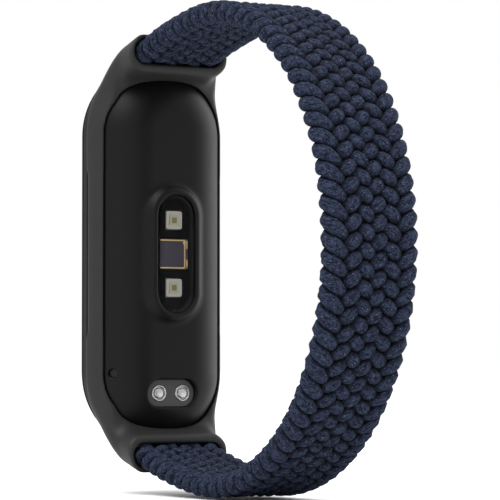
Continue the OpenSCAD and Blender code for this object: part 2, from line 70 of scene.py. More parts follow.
# %% [markdown]
# ## Shader maths as expressions
#
# Finishes are written as sums and products of textures. A small class wraps a node
# socket and overloads the operators, so "fleck * 0.3 + 0.1" builds two Math nodes.
# Drawing the same graph by hand would work too, but it can't be read as a formula.

# %% One class for shader expressions
OPERATIONS = {"add": "ADD", "sub": "SUBTRACT", "mul": "MULTIPLY"}


class Wire:
    """An output socket in a material's node tree, or a plain number beside it."""

    def __init__(self, finish, socket):
        self.finish = finish
        self.socket = socket

    def math(self, operation, *others):
        return self.finish.node("ShaderNodeMath", {"operation": operation}, (self, *others))

    def between(self, low, high):
        """0 below low, 1 above high, and smooth in the middle."""
        settings = {"interpolation_type": "SMOOTHSTEP"}
        return self.finish.node("ShaderNodeMapRange", settings, (self, low, high))


def operator(name):
    """The plain and the reflected form of one operator, such as x + 1 and 1 + x."""
    def plain(self, other):
        return self.math(OPERATIONS[name], other)

    def reflected(self, other):
        return self.finish.node("ShaderNodeMath", {"operation": OPERATIONS[name]}, (other, self))

    return plain, reflected


for short_name in OPERATIONS:
    forward, backward = operator(short_name)
    setattr(Wire, f"__{short_name}__", forward)
    setattr(Wire, f"__r{short_name}__", backward)
print("shader expressions can use:", ", ".join(OPERATIONS))


# %% One class for finishes
class Finish:
    """A material: one Principled shader, and the nodes that feed it."""

    def __init__(self, name, color, roughness, **constants):
        self.material = bpy.data.materials.new(name)
        self.material.use_nodes = True
        self.tree = self.material.node_tree
        self.shader = self.tree.nodes["Principled BSDF"]
        self.set("Base Color", (*color, 1.0) if isinstance(color, tuple) else color)
        self.set("Roughness", roughness)
        for socket, value in constants.items():
            self.set(socket.replace("_", " "), value)

    def feed(self, socket, value):
        if isinstance(value, Wire):
            self.tree.links.new(value.socket, socket)
        elif value is not None:
            socket.default_value = value

    def set(self, name, value):
        self.feed(self.shader.inputs[name], value)

    def node(self, kind, settings=None, values=(), output=0, named=None):
        """Adds any node: its settings first, then values or wires for its sockets."""
        made = self.tree.nodes.new(kind)
        for key, setting in (settings or {}).items():
            setattr(made, key, setting)
        for index, value in enumerate(values):
            self.feed(made.inputs[index], value)
        for key, value in (named or {}).items():
            self.feed(made.inputs[key], value)
        return Wire(self, made.outputs[output])

    def place(self):
        """Where the surface is on the part, in the part's own metres."""
        return self.node("ShaderNodeTexCoord", output="Object")

    def uv(self):
        return self.node("ShaderNodeTexCoord", output="UV")

    def stretched(self, vector, x, y, z):
        return self.node("ShaderNodeVectorMath", {"operation": "MULTIPLY"}, (vector, (x, y, z)))

    def noise(self, vector, scale, detail=2.0, rough=0.5):
        named = {"Vector": vector, "Scale": scale, "Detail": detail, "Roughness": rough}
        return self.node("ShaderNodeTexNoise", named=named)

    def mix(self, amount, first, second):
        """A colour between two colours."""
        mixer = self.tree.nodes.new("ShaderNodeMix")
        mixer.data_type = "RGBA"
        self.feed(mixer.inputs[0], amount)
        for socket, color in ((mixer.inputs[6], first), (mixer.inputs[7], second)):
            self.feed(socket, (*color, 1.0) if isinstance(color, tuple) else color)
        return Wire(self, mixer.outputs[2])

    def bump(self, height, strength, distance):
        named = {"Height": height, "Strength": strength, "Distance": distance}
        self.set("Normal", self.node("ShaderNodeBump", named=named))


def linear(level):
    """The renderer's linear light from a screen level of 0 to 255."""
    return ((level / 255 + 0.055) / 1.055) ** 2.4 if level > 10 else level / 255 / 12.92


def tint(red, green, blue):
    return linear(red), linear(green), linear(blue)


def gray(level):
    return tint(level, level, level)


print("a screen level of 128 is", round(linear(128), 3), "in linear light")


# %% [markdown]
# ## Turning a formula into a mesh
#
# The holder and the back of the tracker are soft moulded forms: walls that melt into
# each other with no hard line. Subdivision surfaces could do it, but a hole in a
# blended wall is awkward there. Here each form is a distance formula instead: a number
# that is negative inside, zero on the surface and positive outside. Two forms join in a
# fillet with a smooth minimum. A grid finds the surface, and each vertex is then moved
# on to it exactly.

# %% Distance helpers, in millimetres
def smooth_min(a, b, radius):
    h = np.maximum(radius - np.abs(a - b), 0) / radius
    return np.minimum(a, b) - h * h * radius / 4


def smooth_max(a, b, radius):
    return -smooth_min(-a, -b, radius)


def pill_distance(x, z, half_width, reach):
    """Distance to the outline of a pill whose round ends are centred at z = +-reach."""
    return np.hypot(x, np.maximum(np.abs(z) - reach, 0)) - half_width


def plate(outline, depth, back, front, rounding):
    """A flat form: an outline between two depths, with its edges rounded."""
    middle = (back + front) / 2
    side = outline + rounding
    face = np.abs(depth - middle) - (front - back) / 2 + rounding
    outside = np.hypot(np.maximum(side, 0), np.maximum(face, 0))
    return np.minimum(np.maximum(side, face), 0) + outside - rounding


# %% From a formula to quads
def grid_values(form, low, high, step):
    axes = [np.arange(low[i], high[i] + step, step) for i in range(3)]
    x, y, z = np.meshgrid(*axes, indexing="ij", sparse=True)
    return axes, np.broadcast_to(form(x, y, z), [len(a) for a in axes])


def surface_cells(values):
    """The grid cells that the surface passes through, with the mean of their crossings."""
    size = np.array(values.shape) - 1
    total = np.zeros((*size, 3), np.float32)
    count = np.zeros(size, np.int16)
    corners = [(i, j, k) for i in (0, 1) for j in (0, 1) for k in (0, 1)]

    def corner(c):
        return values[c[0]:c[0] + size[0], c[1]:c[1] + size[1], c[2]:c[2] + size[2]]

    for c in corners:
        for axis in range(3):
            if c[axis] == 1:
                continue
            d = tuple(1 if i == axis else v for i, v in enumerate(c))
            a, b = corner(c), corner(d)
            crossed = (a < 0) != (b < 0)
            t = np.where(crossed, a / np.where(a == b, 1, a - b), 0)
            for i in range(3):
                total[..., i] += np.where(crossed, c[i] + (t if i == axis else 0), 0)
            count += crossed
    return total, count


def net_quads(values, index):
    """One quad round every grid edge that crosses the surface, facing outwards."""
    inside = values < 0
    quads = []
    for axis in range(3):
        u, v = (axis + 1) % 3, (axis + 2) % 3
        a = np.moveaxis(inside, (axis, u, v), (0, 1, 2))
        cells = np.moveaxis(index, (axis, u, v), (0, 1, 2))
        start, stop = a[:-1, 1:-1, 1:-1], a[1:, 1:-1, 1:-1]
        ring = [cells[:, :-1, :-1], cells[:, 1:, :-1], cells[:, 1:, 1:], cells[:, :-1, 1:]]
        for crossed, order in ((start & ~stop, (0, 1, 2, 3)), (~start & stop, (3, 2, 1, 0))):
            quads.append(np.stack([ring[k][crossed] for k in order], axis=1))
    return np.concatenate(quads)


def settle(form, points, step):
    """Moves each point along the formula's slope until the formula is zero there."""
    tiny = 0.02
    for _ in range(4):
        value = form(*points.T)
        slope = np.stack([
            form(*(points + np.eye(3)[i] * tiny).T) - form(*(points - np.eye(3)[i] * tiny).T)
            for i in range(3)], axis=1) / (2 * tiny)
        length = np.maximum((slope ** 2).sum(1), 0.25)
        move = -slope * (value / length)[:, None]
        points = points + np.clip(move, -step / 2, step / 2)
    return points


def mesh_of(form, low, high, step):
    """Vertices in millimetres and quads of the surface where form is zero."""
    axes, values = grid_values(form, low, high, step)
    total, count = surface_cells(values)
    hit = count > 0
    index = np.full(count.shape, -1)
    index[hit] = np.arange(hit.sum())
    cell = np.argwhere(hit)
    points = np.array(low) + (cell + total[hit] / count[hit][:, None]) * step
    return settle(form, points, step), net_quads(values, index)


# %% Making an object from arrays
def make_object(name, points, faces):
    """A smooth shaded object from points in metres and faces of four corners."""
    mesh = bpy.data.meshes.new(name)
    mesh.from_pydata(np.asarray(points).tolist(), [], np.asarray(faces).tolist())
    mesh.validate()
    mesh.polygons.foreach_set("use_smooth", [True] * len(mesh.polygons))
    made = bpy.data.objects.new(name, mesh)
    scene.collection.objects.link(made)
    return made


def dress(piece, finish):
    """Gives the piece one finish all over."""
    piece.data.materials.clear()
    piece.data.materials.append(finish.material)
    return piece


# %% [markdown]
# ## The tracker's own measures
#
# Everything moulded is described from the plane of the holder's back face. "Depth" is
# the distance forward of that plane, towards the display, so it is negative on the side
# that touches the wrist. The plane and the middle height come from the frame.

# %% Where the tracker is
housing_low, housing_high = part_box("rear_housing")
glass_low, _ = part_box("front_glass")
_, holder_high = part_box("holder_frame")
BULGE_HEIGHT = 1.6
WINDOW_RISE = 0.9
back_plane = housing_high.y / MM - BULGE_HEIGHT - WINDOW_RISE
middle = (housing_low.z + housing_high.z) / 2 / MM
half_width = (housing_high.x - housing_low.x) / 2 / MM
half_length = (housing_high.z - housing_low.z) / 2 / MM
reach = half_length - half_width
print(f"tracker {2 * half_width:.1f} x {2 * half_length:.1f} mm, back plane y {back_plane:.2f}")


def to_part(points):
    """From (across, depth, along) in millimetres to the part's own metres."""
    x, depth, z = np.asarray(points).T
    return np.stack([x, back_plane - depth, z + middle], axis=1) * MM


def moulded(name, form, low, high, step):
    """An object in the part's frame from a formula of (across, depth, along)."""
    points, quads = mesh_of(form, low, high, step)
    return make_object(name, to_part(points), quads[:, ::-1])


# %% [markdown]
# ## The holder
#
# The real holder is soft rubber, moulded in one go: a thin wall round the tracker, and
# at each end a thick neck with a mouth that the braid is pushed into. Its edges are all
# rounded, because a sharp edge would tear and would rub the wrist. One distance formula
# gives all of it. It reads the sizes of x and z without their signs, because the two
# ends and the two sides are mirror images.

# %% Sizes of the holder
WALL = 0.6
RIM_DEPTH = 3.4
LIP_BACK = 1.2
LIP_FRONT = 2.4
WALL_TAPER = 1.6
SEAT_GAP = 0.15
holder_half = holder_high.x / MM
cavity_half = holder_half - WALL
print(f"holder wall from {cavity_half:.2f} to {holder_half:.2f} mm")

# %% Sizes of the tracker's bulge
BULGE_RADIUS = 6.3
BULGE_ANGLE = math.radians(58.6)
BULGE_INSET = 1.1
BULGE_SHIFT = 0.1
bulge_half = half_width - BULGE_INSET
bulge_reach = reach + BULGE_SHIFT
bulge_flat = bulge_half - BULGE_RADIUS * math.sin(BULGE_ANGLE)
print(f"bulge: {2 * bulge_half:.1f} mm wide, flat over {2 * bulge_flat:.1f} mm")


def bulge_form(x, depth, z, gap):
    """The bulge behind the tracker, grown by a gap: a flat back with round sides."""
    out = np.hypot(x, np.maximum(np.abs(z) - bulge_reach, 0))
    from_centre = np.minimum(depth + BULGE_HEIGHT - BULGE_RADIUS, 0)
    round_side = np.hypot(np.maximum(out - bulge_flat, 0), from_centre) - BULGE_RADIUS - gap
    return np.maximum(smooth_max(round_side, out - bulge_half - gap, 0.3), depth - LIP_FRONT - 0.4)


# %% Where the band meets the holder
BAND_WIDTH = 12.2
BAND_THICKNESS = 2.7
BAND_ARCS = ((28.9, 36.4), (25.3, 61.9), (71.0, 9.7))
BAND_TAIL = 2.0


def turned(angle):
    return np.array([math.cos(angle), math.sin(angle)])


def list_arcs():
    """Each arc's centre, radius, start and span, in (y, z) from the first arc's centre."""
    arcs, centre, angle = [], np.zeros(2), 0.0
    for index, (radius, span) in enumerate(BAND_ARCS):
        arcs.append((centre, radius, angle, math.radians(span)))
        angle += math.radians(span)
        if index < len(BAND_ARCS) - 1:
            centre = centre + (radius - BAND_ARCS[index + 1][0]) * turned(angle)
    return arcs


arcs = list_arcs()
last_centre, last_radius, last_start, last_span = arcs[-1]
end_point = last_centre + last_radius * turned(last_start + last_span)
end_angle = last_start + last_span + math.pi / 2
_, band_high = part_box("braided_band")
loop_centre_y = band_high.y / MM - BAND_ARCS[0][0] - BAND_THICKNESS / 2
socket_along = end_point[1]
socket_depth = back_plane - (end_point[0] + loop_centre_y)
socket_dir = (-math.cos(end_angle), math.sin(end_angle))
print(f"band ends at depth {socket_depth:.2f}, height {socket_along:.2f} mm")


# %% Places round the band's end
def socket_frame(depth, z):
    """Coordinates that run along the band's end: (inwards, across the thickness)."""
    d, a = depth - socket_depth, np.abs(z) - socket_along
    inward = d * socket_dir[0] + a * socket_dir[1]
    across = -d * socket_dir[1] + a * socket_dir[0]
    return inward, across


def strip_distance(x, t, half_across, half_thick):
    """Distance to a flat strip's outline with round edges."""
    return np.hypot(np.maximum(np.abs(x) - (half_across - half_thick), 0), t) - half_thick


# %% The holder's wall
def holder_wall(x, depth, z):
    """The thin wall beside the tracker, which tapers in towards the wrist."""
    out = pill_distance(x, z, holder_half, reach)
    taper = (out * WALL_TAPER + (LIP_BACK + WALL_TAPER - depth)) / math.hypot(WALL_TAPER, 1)
    wall = smooth_max(smooth_max(out, taper, 0.5), depth - RIM_DEPTH, 0.25)
    return smooth_max(wall, LIP_BACK - depth, 0.2)


# %% The holder's ends
CONE_SLOPE, CONE_START = 1.13, 0.5
PLAN_SLOPE, PLAN_START = 0.29, 2.1
WAIST_HALF, WAIST_SLOPE = 6.75, 0.61
FLARE_START, FLARE = 19.5, 0.04
BACK_DEPTH, BACK_DROP, BACK_END, BACK_RUN = 0.75, 0.45, 20.0, 9.0
BODY_START, BODY_END = 10.0, 25.0
SLEEVE_HALF, SLEEVE_THICK, SLEEVE_LIFT, SLEEVE_LENGTH = 6.95, 2.05, 0.25, 6.0
MOUTH_START, MOUTH_SLOPE = 0.1, 0.5
POCKET_HALF, POCKET_THICK, FUNNEL = 6.1, 1.35, 0.15


def mouth_distance(inward, across):
    """How far a place is outside the slanted plane of the mouth."""
    return (-MOUTH_START - MOUTH_SLOPE * across - inward) / math.hypot(MOUTH_SLOPE, 1)


def holder_end(x, depth, z):
    """The thick end: a waist at the sides, a sleeve round the braid, and a cone in front."""
    side, along = np.abs(x), np.abs(z)
    inward, across = socket_frame(depth, z)
    outline = pill_distance(x, z, holder_half, reach)
    cone = (depth - RIM_DEPTH + CONE_SLOPE * (outline - CONE_START)) / math.hypot(CONE_SLOPE, 1)
    plan = (side - holder_half + PLAN_SLOPE * (along - reach - PLAN_START)) / math.hypot(PLAN_SLOPE, 1)
    flare = FLARE * np.maximum(along - FLARE_START, 0) ** 2
    waist = (side - WAIST_HALF - WAIST_SLOPE * depth - flare) / math.hypot(WAIST_SLOPE, 1)
    fall = np.clip((BACK_END - along) / BACK_RUN, 0, 1)
    back = BACK_DEPTH + BACK_DROP * fall * fall * (3 - 2 * fall)
    body = smooth_max(waist, back - depth, 0.6)
    body = smooth_max(smooth_max(body, BODY_START - along, 1.0), along - BODY_END, 1.6)
    sleeve = strip_distance(x, across + SLEEVE_LIFT, SLEEVE_HALF, SLEEVE_THICK)
    sleeve = smooth_max(sleeve, inward - SLEEVE_LENGTH, 1.5)
    end = smooth_min(body, sleeve, 1.8)
    end = smooth_max(smooth_max(end, plan, 0.8), cone, 0.9)
    return smooth_max(end, mouth_distance(inward, across), 0.5)


def socket_pocket(x, depth, z):
    """The room for the braid's end, with a funnel at its mouth."""
    inward, across = socket_frame(depth, z)
    round_braid = strip_distance(x, across, POCKET_HALF, POCKET_THICK)
    funnel = (round_braid - FUNNEL - mouth_distance(inward, across)) / math.hypot(1, 1)
    return np.maximum(smooth_min(round_braid, funnel, 0.3), inward - BAND_TAIL - 0.6)


# %% The whole holder
FAR_FRONT = 9.0


def holder_form(x, depth, z):
    solid = smooth_min(holder_wall(x, depth, z), holder_end(x, depth, z), 0.9)
    outline = pill_distance(x, z, cavity_half, reach)
    cavity = plate(outline, depth, LIP_FRONT, RIM_DEPTH + FAR_FRONT, 0.1)
    solid = smooth_max(solid, -cavity, 0.12)
    solid = smooth_max(solid, -bulge_form(x, depth, z, SEAT_GAP), 0.25)
    return smooth_max(solid, -socket_pocket(x, depth, z), 0.3)


# %% Build the holder
holder = moulded("holder_cradle", holder_form, (-10.2, -6.2, -29.2), (10.2, 4.4, 29.2), 0.2)
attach(holder, "strap")
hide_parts("holder_frame")
print("holder:", len(holder.data.polygons), "faces")

# %% [markdown]
# ## The tracker's back
#
# The rear housing is a hard shell. Its bulge pushes through the holder's opening and
# rests on the skin, with a raised rim round the sensor window and a pocket for the
# charger's pins. The same kind of formula gives it, because the rim has to melt into
# the bulge while the window's seat stays crisp.

# %% The housing's formula
WINDOW_HALF = 2.6
WINDOW_REACH = 4.6
WINDOW_SEAT = -1.8
WINDOW_LEDGE = 0.4
RIM_WIDTH = 0.85
BODY_INSET = 0.65
FLANGE_BACK, FLANGE_FRONT = 3.55, 4.65
HOUSING_WALL = 0.9
FLOOR = -0.7
FLOOR_INSET = 3.0
PLATE_DEPTH = FLOOR + 3
POCKET_RADIUS = 1.65
PORT_X = 7.3
PORT_RADIUS = 0.55
PORT_LENGTH = 0.65
FAR_BACK = -9.0
contacts_low, contacts_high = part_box("charging_contacts")
contact_z = (contacts_low.z + contacts_high.z) / 2 / MM - middle
mesh_low, mesh_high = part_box("port_mesh")
port_z = (mesh_low.z + mesh_high.z) / 2 / MM - middle
port_angle = math.asin((PORT_X - bulge_flat) / BULGE_RADIUS)
print(f"contacts at height {contact_z:.2f} mm, microphone port at {port_z:.2f} mm")


def shell_outside(x, depth, z):
    """The bulge, the step that the holder grips, the flange and the window's raised rim."""
    outline = pill_distance(x, z, half_width, reach)
    body = plate(outline + BODY_INSET, depth, LIP_FRONT + 0.1, FLANGE_FRONT, 0.2)
    flange = plate(outline, depth, FLANGE_BACK, FLANGE_FRONT, 0.15)
    solid = np.minimum(smooth_min(bulge_form(x, depth, z, 0.0), body, 0.2), flange)
    window = pill_distance(x, z, WINDOW_HALF, WINDOW_REACH)
    rim = plate(window - RIM_WIDTH, depth, -BULGE_HEIGHT - WINDOW_RISE, 0.0, 0.6)
    return smooth_min(solid, rim, 1.1)


def port_bore(x, depth, z):
    """The microphone's port, square to the bulge's round side."""
    rise, sideways = BULGE_RADIUS - BULGE_HEIGHT - depth, x - bulge_flat
    beside = sideways * math.cos(port_angle) - rise * math.sin(port_angle)
    outward = sideways * math.sin(port_angle) + rise * math.cos(port_angle) - BULGE_RADIUS
    return np.maximum(np.hypot(beside, z - port_z) - PORT_RADIUS, -outward - PORT_LENGTH)


def housing_form(x, depth, z):
    window = pill_distance(x, z, WINDOW_HALF, WINDOW_REACH)
    seat = plate(window, depth, FAR_BACK, WINDOW_SEAT, 0.05)
    well = plate(window + WINDOW_LEDGE, depth, FAR_BACK, PLATE_DEPTH, 0.05)
    solid = smooth_max(shell_outside(x, depth, z), -np.minimum(seat, well), 0.25)
    pocket = np.hypot(np.maximum(np.abs(x) - POCKET_RADIUS, 0), z - contact_z) - POCKET_RADIUS
    solid = smooth_max(solid, -plate(pocket, depth, FAR_BACK, PLATE_DEPTH, 0.05), 0.35)
    solid = smooth_max(solid, -port_bore(x, depth, z), 0.2)
    room = pill_distance(x, z, bulge_half - HOUSING_WALL, reach)
    hollow = plate(room, depth, LIP_BACK + 0.2, FAR_FRONT, 0.2)
    low_room = pill_distance(x, z, bulge_half - FLOOR_INSET, bulge_reach)
    floor = plate(low_room, depth, FLOOR, FAR_FRONT, 0.2)
    return smooth_max(smooth_max(solid, -hollow, 0.1), -floor, 0.1)


# %% Build the housing
housing = moulded("rear_shell", housing_form, (-9.8, -3.4, -24.4), (9.8, 5.4, 24.4), 0.18)
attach(housing, "tracker")
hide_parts("rear_housing")
print("housing:", len(housing.data.polygons), "faces")

# %% [markdown]
# ## The braid
#
# The real band is a flat plait of seven thick knitted yarns over an elastic core. A
# yarn runs from edge to edge and back, over one and under the next. Cloth tools can't
# plait, and a printed texture would look flat at the edge, so every yarn is swept
# as a tube along a formula: nearly a triangle wave across the band, and a flattened sine
# up and down.

# %% The band's centre line
HALF_BAND = sum(radius * span for _, radius, _, span in arcs)


def centre_line(s):
    """Places (y, z) and outward angles on the loop, s millimetres from its far point."""
    along = np.abs(s)
    y, z, facing = np.zeros_like(s), np.zeros_like(s), np.zeros_like(s)
    for centre, radius, start, span in arcs:
        part = along >= 0
        angle = start + np.clip(along / radius, 0, span)
        y[part] = (centre[0] + radius * np.cos(angle))[part]
        z[part] = (centre[1] + radius * np.sin(angle))[part]
        facing[part] = angle[part]
        along = np.where(along > radius * span, along - radius * span, -1.0)
    past = np.maximum(along, 0)
    y, z = y - past * np.sin(facing), z + past * np.cos(facing)
    return y, np.where(s < 0, -z, z), np.where(s < 0, -facing, facing)


def on_band(s, across, outward):
    """Points in the part's metres from places on, across and out of the band."""
    y, z, facing = centre_line(s)
    y = y + outward * np.cos(facing) + loop_centre_y
    z = z + outward * np.sin(facing) + middle
    return np.stack([across, y, z], axis=-1) * MM


print(f"half of the band is {HALF_BAND:.1f} mm long")

# %% The path of one yarn
YARNS = 7
CROSSINGS = YARNS - 1
PITCH = 2.0
PERIOD = YARNS * PITCH
WEAVE_HEIGHT = 0.6
FLAT_FLOAT = 1.6
EDGE_FLOAT = 0.28
STEEP_FLOAT = 0.3
YARN_WIDE = 0.88
YARN_THICK = 0.74
EDGE = BAND_WIDTH / 2 - YARN_THICK + 0.08
EDGE_TURN = 0.339
ROUND_OFF = 0.985


def yarn_path(t):
    """Across, outward and twist of a yarn at t periods: it starts at the +X edge.

    The twist turns the flat side of the yarn over at each edge: half a turn out and
    half a turn back.
    """
    quick = 4 * CROSSINGS * np.pi
    paced = t - EDGE_FLOAT * np.sin(4 * np.pi * t) / (4 * np.pi)
    slowed = t + STEEP_FLOAT * np.sin(quick * paced) / quick
    across = EDGE * np.arcsin(ROUND_OFF * np.cos(2 * np.pi * slowed)) / math.asin(ROUND_OFF)
    wave = np.tanh(FLAT_FLOAT * np.sin(quick / 2 * paced)) / math.tanh(FLAT_FLOAT)
    outward = -WEAVE_HEIGHT * wave
    turn = np.clip((np.sin(2 * np.pi * t) / EDGE_TURN + 1) / 2, 0, 1)
    return across, outward, np.pi * turn * turn * (3 - 2 * turn)


print(f"a yarn comes back to the same edge every {PERIOD:.1f} mm")

# %% Sweep a yarn as a tube
SIDES = 16
STEP = 0.28
# Depth in mm below the band's surface at which the painted gap shade is darkest.
GAP_SHADE_DEPTH = 0.75
END_RUN = 5.0
END_NARROWING = 0.04
PLUMP = 0.06


def unit(vectors):
    return vectors / np.linalg.norm(vectors, axis=-1, keepdims=True)


def yarn_rings(index, reach_s):
    """A yarn's rings of points, the length along it, and a mask for painted shade: 1 at the band's surface,
    0 deep in the plait's gaps.
    """
    s = np.arange(-reach_s, reach_s + STEP / 2, STEP)
    t = s / PERIOD + index / YARNS
    across, outward, twist = yarn_path(t)
    near_end = np.clip((np.abs(s) - HALF_BAND + END_RUN) / END_RUN, 0, 1)
    narrow = 1 - END_NARROWING * near_end
    centre = on_band(s, across * narrow, outward)
    _, _, facing = centre_line(s)
    normal = np.stack([np.zeros_like(s), np.cos(facing), np.sin(facing)], axis=-1)
    side = np.stack([np.ones_like(s), np.zeros_like(s), np.zeros_like(s)], axis=-1)
    ahead = unit(np.gradient(centre, axis=0))
    out = unit(np.cos(twist)[:, None] * normal + np.sin(twist)[:, None] * side)
    out = unit(out - (out * ahead).sum(1, keepdims=True) * ahead)
    flat = np.cross(ahead, out)
    angle = 2 * np.pi * np.arange(SIDES) / SIDES
    plump = 1 - PLUMP * np.cos(4 * CROSSINGS * np.pi * t)
    wide = (YARN_WIDE * MM * plump * narrow)[:, None] * np.cos(angle)
    thick = YARN_THICK * MM * np.sin(angle)
    rings = centre[:, None] + flat[:, None] * wide[..., None] + out[:, None] * thick[:, None]
    length = np.concatenate([[0], np.cumsum(np.linalg.norm(np.diff(centre, axis=0), axis=1))]) / MM
    # Painted shade: points that lie deep between the other yarns get a low mask value and are coloured
    # nearly black in the yarn finish.
    spine = on_band(s, np.zeros_like(s), np.zeros_like(s))
    rise = ((rings - spine[:, None]) * normal[:, None]).sum(2) / MM
    buried = -strip_distance(rings[..., 0] / MM, rise, BAND_WIDTH / 2, BAND_THICKNESS / 2)
    return rings, length, np.clip(1 - buried / GAP_SHADE_DEPTH, 0, 1)


def tube_faces(rings, first):
    """The quads of a tube whose points start at a number, and its two end caps."""
    i, j = np.meshgrid(np.arange(rings - 1), np.arange(SIDES), indexing="ij")
    k = (j + 1) % SIDES
    quads = np.stack([i * SIDES + j, i * SIDES + k, (i + 1) * SIDES + k, (i + 1) * SIDES + j], axis=-1)
    caps = [list(range(first + SIDES - 1, first - 1, -1))]
    caps.append(list(range(first + (rings - 1) * SIDES, first + rings * SIDES)))
    return (quads.reshape(-1, 4) + first).tolist(), caps


# %% Plait the seven yarns
YARN_OFFSET = 37.0


def plait():
    """All yarns in one mesh, each with its own stretch of the texture."""
    points, faces, lengths, gap_shade_masks, first = [], [], [], [], 0
    for index in range(YARNS):
        rings, length, gap_shade_mask = yarn_rings(index, HALF_BAND + BAND_TAIL - 0.05)
        quads, caps = tube_faces(len(rings), first)
        points.append(rings.reshape(-1, 3))
        lengths.append(np.repeat(length, SIDES) + YARN_OFFSET * index)
        gap_shade_masks.append(gap_shade_mask.ravel())
        faces += quads + caps
        first += len(rings) * SIDES
    made = bpy.data.meshes.new("braid")
    made.from_pydata(np.concatenate(points).tolist(), [], faces)
    made.polygons.foreach_set("use_smooth", [True] * len(made.polygons))
    braid_piece = bpy.data.objects.new("braid", made)
    scene.collection.objects.link(braid_piece)
    mark_yarn(made, np.concatenate(lengths))
    # Each point keeps its painted gap shade mask for the yarn finish.
    gap_shade_layer = made.attributes.new("gap_shade_mask", "FLOAT", "POINT")
    gap_shade_layer.data.foreach_set("value", np.concatenate(gap_shade_masks).astype(np.float32))
    return braid_piece


def mark_yarn(mesh, lengths):
    """UVs in millimetres: round the yarn, and along it."""
    layer = mesh.uv_layers.new(name="yarn")
    corner = np.zeros(len(mesh.loops), int)
    mesh.loops.foreach_get("vertex_index", corner)
    start = np.zeros(len(mesh.polygons), int)
    mesh.polygons.foreach_get("loop_start", start)
    first = np.repeat(corner[start], np.diff(np.append(start, len(corner))))
    around = (corner - first) % SIDES
    around = np.where(around > SIDES / 2, around - SIDES, around) + first % SIDES
    girth = 2 * math.pi * math.sqrt((YARN_WIDE ** 2 + YARN_THICK ** 2) / 2)
    uv = np.stack([around / SIDES * girth, lengths[corner]], axis=1)
    layer.data.foreach_set("uv", uv.astype(np.float32).ravel())


braid = plait()
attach(braid, "strap")
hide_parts("braided_band")
print("braid:", len(braid.data.polygons), "faces, pitch", PITCH, "mm")

# %% [markdown]
# ## The glass and the sensor window
#
# Both are pills with a domed face. Every ring of a pill, however far in, keeps its
# round ends on the same two centres. So a pill is a profile of (distance out, depth)
# swept round that outline, and the innermost ring folds on to the middle line.

# %% Sweep a profile round a pill
END_STEPS = 40


def pill_ring(out, ring_reach):
    """Points of a pill's outline at a given distance out, as (across, along)."""
    angle = np.linspace(-math.pi / 2, math.pi / 2, END_STEPS + 1)
    top = np.stack([out * np.sin(angle), ring_reach + out * np.cos(angle)], axis=1)
    return np.concatenate([top, -top])


def pill_loft(name, profile, ring_reach):
    """A closed solid from a profile that starts and ends on the middle line."""
    points, count = [], 2 * (END_STEPS + 1)
    for out, depth in profile:
        ring = pill_ring(out, ring_reach)
        points.append(np.stack([ring[:, 0], np.full(count, depth), ring[:, 1]], axis=1))
    i, j = np.meshgrid(np.arange(len(profile) - 1), np.arange(count), indexing="ij")
    k = (j + 1) % count
    quads = np.stack([i * count + j, i * count + k, (i + 1) * count + k, (i + 1) * count + j], axis=-1)
    made = make_object(name, to_part(np.concatenate(points)), quads.reshape(-1, 4))
    weld(made)
    return made


def weld(piece, distance=0.002 * MM):
    """Joins the points that fell on each other, and points every face outwards."""
    work = bmesh.new()
    work.from_mesh(piece.data)
    bmesh.ops.remove_doubles(work, verts=work.verts, dist=distance)
    bmesh.ops.dissolve_degenerate(work, edges=work.edges, dist=distance)
    bmesh.ops.recalc_face_normals(work, faces=work.faces)
    work.to_mesh(piece.data)
    work.free()


def arc(centre, radius, start, stop, steps):
    """Points of an arc as (out, depth), from one angle off the axis to another."""
    angles = np.radians(np.linspace(start, stop, steps + 1))
    return [(centre[0] + radius * math.sin(a), centre[1] + radius * math.cos(a)) for a in angles]


# %% The front glass
GLASS_BASE = 4.8
CROWN_RADIUS = 18.8
CROWN_ANGLE = 13.0
EDGE_RADIUS = 3.2
EDGE_ANGLE = 75.0
GLASS_THICK = 1.0
apex = -(glass_low.y / MM - back_plane)
edge_run = CROWN_RADIUS - EDGE_RADIUS
blend, edge_stop = math.radians(CROWN_ANGLE), math.radians(EDGE_ANGLE)
glass_flat = half_width - edge_run * math.sin(blend) - EDGE_RADIUS * math.sin(edge_stop)
crown_centre = (glass_flat, apex - CROWN_RADIUS)
edge_centre = (glass_flat + edge_run * math.sin(blend),
               crown_centre[1] + edge_run * math.cos(blend))
outer_face = [(0.0, apex)] + arc(crown_centre, CROWN_RADIUS, 0, CROWN_ANGLE, 6)
outer_face += arc(edge_centre, EDGE_RADIUS, CROWN_ANGLE, EDGE_ANGLE, 14)[1:]
inner_face = arc(edge_centre, EDGE_RADIUS - GLASS_THICK, EDGE_ANGLE, CROWN_ANGLE, 8)
inner_face += arc(crown_centre, CROWN_RADIUS - GLASS_THICK, CROWN_ANGLE, 0, 4)[1:]
inner_face.append((0.0, apex - GLASS_THICK))
base = [(half_width - 0.04, GLASS_BASE + 0.06), (half_width - 0.12, GLASS_BASE),
        (half_width - GLASS_THICK, GLASS_BASE)]
glass = pill_loft("cover_glass", outer_face + base + inner_face, reach)
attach(glass, "tracker")
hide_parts("front_glass")
print(f"glass apex {apex:.2f} mm forward of the back plane, flat to {glass_flat:.2f} mm")

# %% The sensor window
_, window_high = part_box("sensor_window")
window_top = -(window_high.y / MM - back_plane)
window_out = WINDOW_HALF - 0.05
window_profile = [(0.0, window_top), (1.2, window_top + 0.02), (2.0, window_top + 0.06),
                  (window_out - 0.18, window_top + 0.11), (window_out - 0.04, window_top + 0.16),
                  (window_out, window_top + 0.26), (window_out, WINDOW_SEAT), (0.0, WINDOW_SEAT)]
window = pill_loft("sensor_lens", window_profile, WINDOW_REACH)
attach(window, "tracker")
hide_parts("sensor_window")
print(f"sensor window: {2 * window_out:.1f} mm wide, top {-window_top:.2f} mm behind the back plane")

